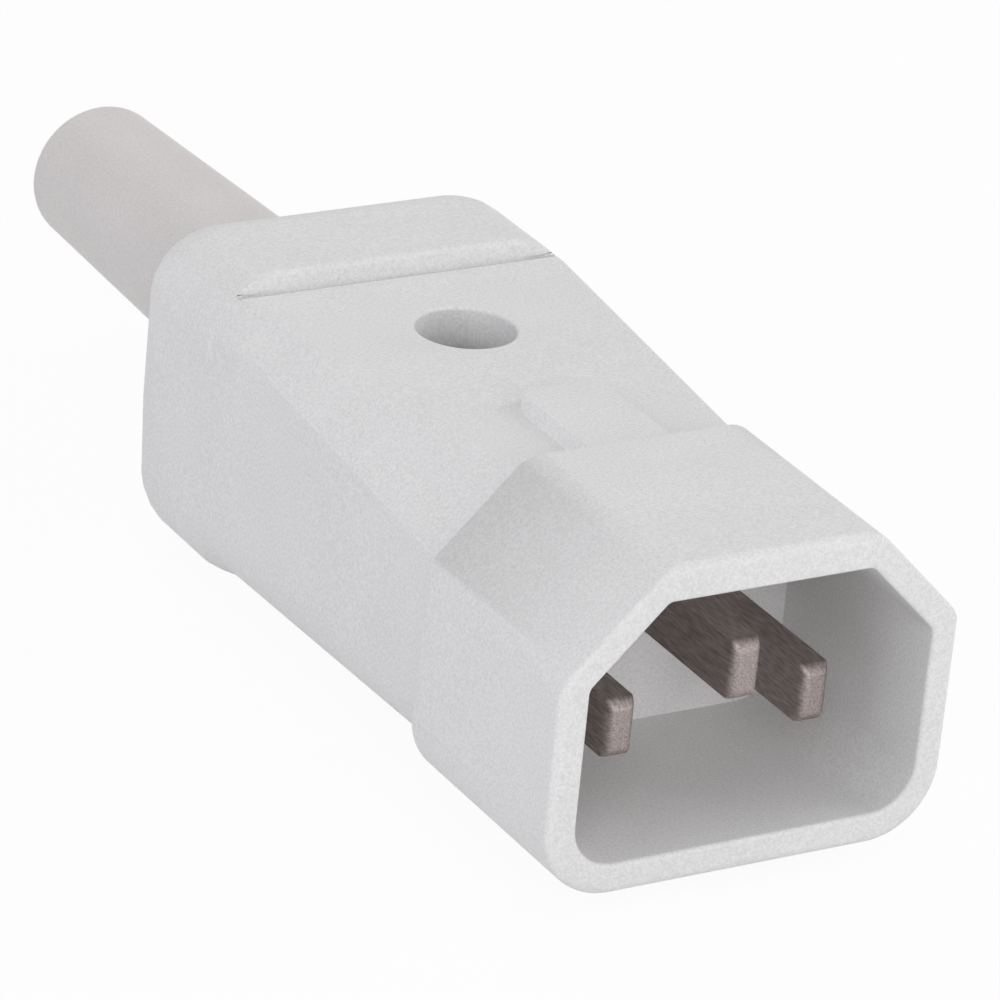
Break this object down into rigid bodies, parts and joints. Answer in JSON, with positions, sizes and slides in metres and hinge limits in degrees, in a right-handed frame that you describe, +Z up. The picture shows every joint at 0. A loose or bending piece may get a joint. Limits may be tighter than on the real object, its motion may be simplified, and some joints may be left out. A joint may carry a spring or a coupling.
{
  "type": "rewireable c14 inlet plug connector",
  "caption": "Rewireable appliance plug with a chamfered shroud around flat pins, a screwed split housing and a tapered cord guard.",
  "frame": {"origin": "middle of the footprint, on the plane the plug rests on", "axes": "+Z up, with the earth pin and the shroud's chamfers on top; +Y towards the cord, so the pins point to -Y; +X to the right seen from the pins"},
  "size_m": [0.0286, 0.0924, 0.023],
  "materials": {
    "housing": "fine moulded texture",
    "guard": "satin",
    "pin_metal": "satin nickel",
    "screw_metal": "zinc plated"
  },
  "bodies": {
    "root": {"pin_carrier": "housing", "upper_shell": "housing", "lower_shell": "housing", "cord_guard": "guard", "line_pin": "pin_metal", "neutral_pin": "pin_metal", "earth_pin": "pin_metal", "line_wire_plate": "screw_metal", "neutral_wire_plate": "screw_metal", "earth_wire_plate": "screw_metal", "line_terminal_screw": "screw_metal", "neutral_terminal_screw": "screw_metal", "earth_terminal_screw": "screw_metal", "housing_screw": "screw_metal", "housing_nut": "screw_metal", "cord_clamp": "housing", "clamp_screw_left": "screw_metal", "clamp_screw_right": "screw_metal"}
  },
  "joints": []
}
